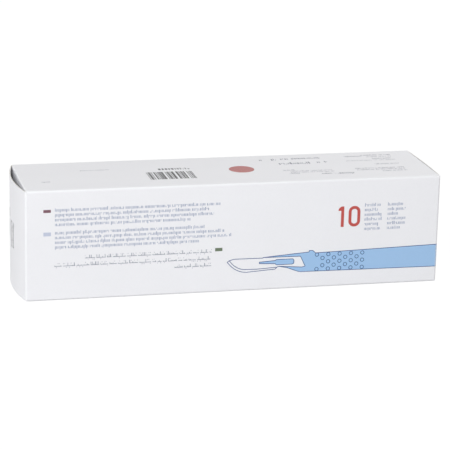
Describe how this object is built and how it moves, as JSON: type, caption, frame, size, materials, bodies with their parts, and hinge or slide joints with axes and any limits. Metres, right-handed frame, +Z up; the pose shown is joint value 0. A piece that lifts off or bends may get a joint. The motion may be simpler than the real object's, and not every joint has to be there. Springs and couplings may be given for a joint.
{
  "type": "folding carton of disposable scalpels",
  "caption": "Lying folding carton of white board with a bowed tuck closure at each end, holding a stack of sealed sachets.",
  "frame": {"origin": "middle of the footprint, on the surface that the carton lies on", "axes": "+Z up, +X along the carton towards its right end, -Y out of the printed front panel"},
  "size_m": [0.2035, 0.051, 0.053],
  "materials": {
    "board": "coated white board, satin",
    "foil": "foil laminate, soft sheen",
    "blue_ink": "printed, satin",
    "line_ink": "printed, satin",
    "red_ink": "printed, satin",
    "black_ink": "printed, satin"
  },
  "bodies": {
    "carton": {"carton": "board", "sachet_01": "foil", "sachet_02": "foil", "sachet_03": "foil", "sachet_04": "foil", "sachet_05": "foil", "sachet_06": "foil", "sachet_07": "foil", "sachet_08": "foil", "sachet_09": "foil", "sachet_10": "foil", "front_ink_blue": "blue_ink", "front_ink_line": "line_ink", "front_ink_red": "red_ink", "top_ink_red": "red_ink", "top_ink_black": "black_ink"},
    "left_end_flap": {"left_end_flap": "board"},
    "right_end_flap": {"right_end_flap": "board"}
  },
  "joints": [
    {"name": "left_end_hinge", "type": "hinge", "parent": "carton", "child": "left_end_flap", "pos_m": [-0.09815, -0.0249, 0.0265], "axis": [0, 0, 1], "range_deg": [0, 135]},
    {"name": "right_end_hinge", "type": "hinge", "parent": "carton", "child": "right_end_flap", "pos_m": [0.10065, -0.0249, 0.0265], "axis": [0, 0, -1], "range_deg": [0, 135]}
  ]
}
